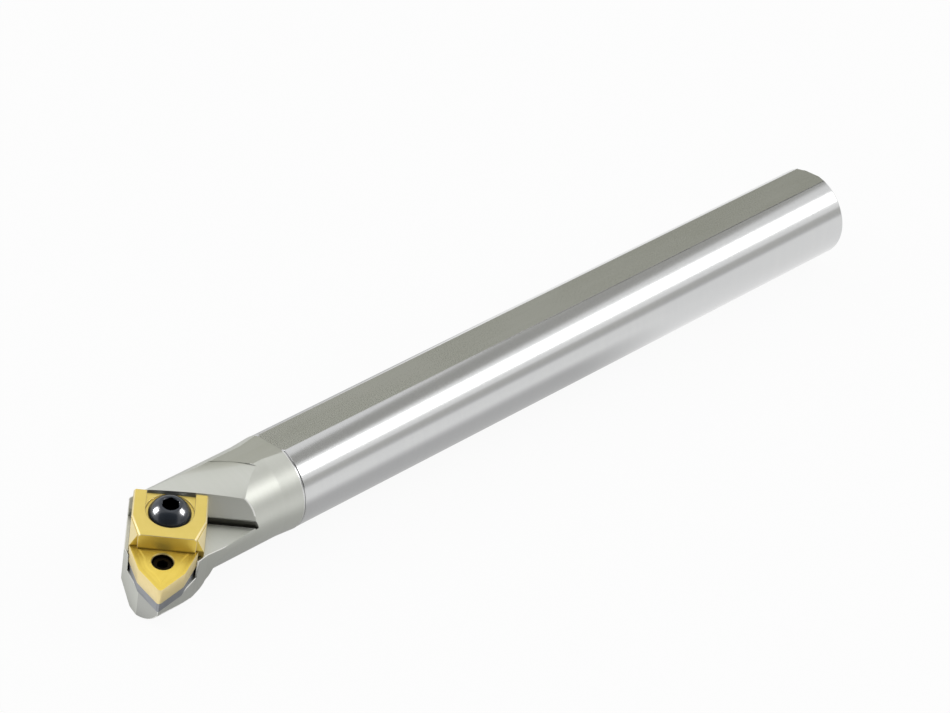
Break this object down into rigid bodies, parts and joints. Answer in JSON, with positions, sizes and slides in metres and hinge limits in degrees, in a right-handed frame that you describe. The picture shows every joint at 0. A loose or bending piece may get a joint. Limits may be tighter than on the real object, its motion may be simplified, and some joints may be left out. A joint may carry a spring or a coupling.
{
  "type": "boring bar",
  "caption": "Round steel boring bar with two clamping flats; its head holds a trigon cutting insert with a lock pin and a screw-down wedge clamp.",
  "frame": {"origin": "centre of the shank's rear face, on the bar's axis", "axes": "+X out of the rear end of the shank, so the head points towards -X; -Y is the side of the cutting nose; +Z is the side of the insert's top face, square to the two clamping flats"},
  "size_m": [0.25, 0.0295, 0.0256],
  "materials": {
    "bar_steel": "satin, hardened and ground, nickel plated",
    "shim_carbide": "matt, ground tungsten carbide",
    "insert_coated": "satin gold coating on tungsten carbide",
    "black_steel": "black oxide, glossy",
    "clamp_coated": "satin pale gold coating",
    "ring_steel": "bright"
  },
  "bodies": {
    "bar": {"bar": "bar_steel", "shim": "shim_carbide", "insert": "insert_coated", "lock_pin": "black_steel"},
    "clamp": {"clamp": "clamp_coated", "stop_ring": "ring_steel"},
    "clamp_screw": {"clamp_screw": "black_steel"}
  },
  "joints": [
    {"name": "clamp_lift", "type": "slide", "parent": "bar", "child": "clamp", "axis": [-0.0423, -0.2419, 0.9694], "range_m": [0, 0.003]},
    {"name": "clamp_screw_turn", "type": "hinge", "parent": "clamp", "child": "clamp_screw", "pos_m": [-0.23399, -0.00188, 0.00737], "axis": [-0.0423, -0.2419, 0.9694], "range_deg": [0, 1080]}
  ],
  "couplings": [
    {"joint": "clamp_screw_turn", "follows": "clamp_lift", "rad_per_m": 6283.1}
  ]
}
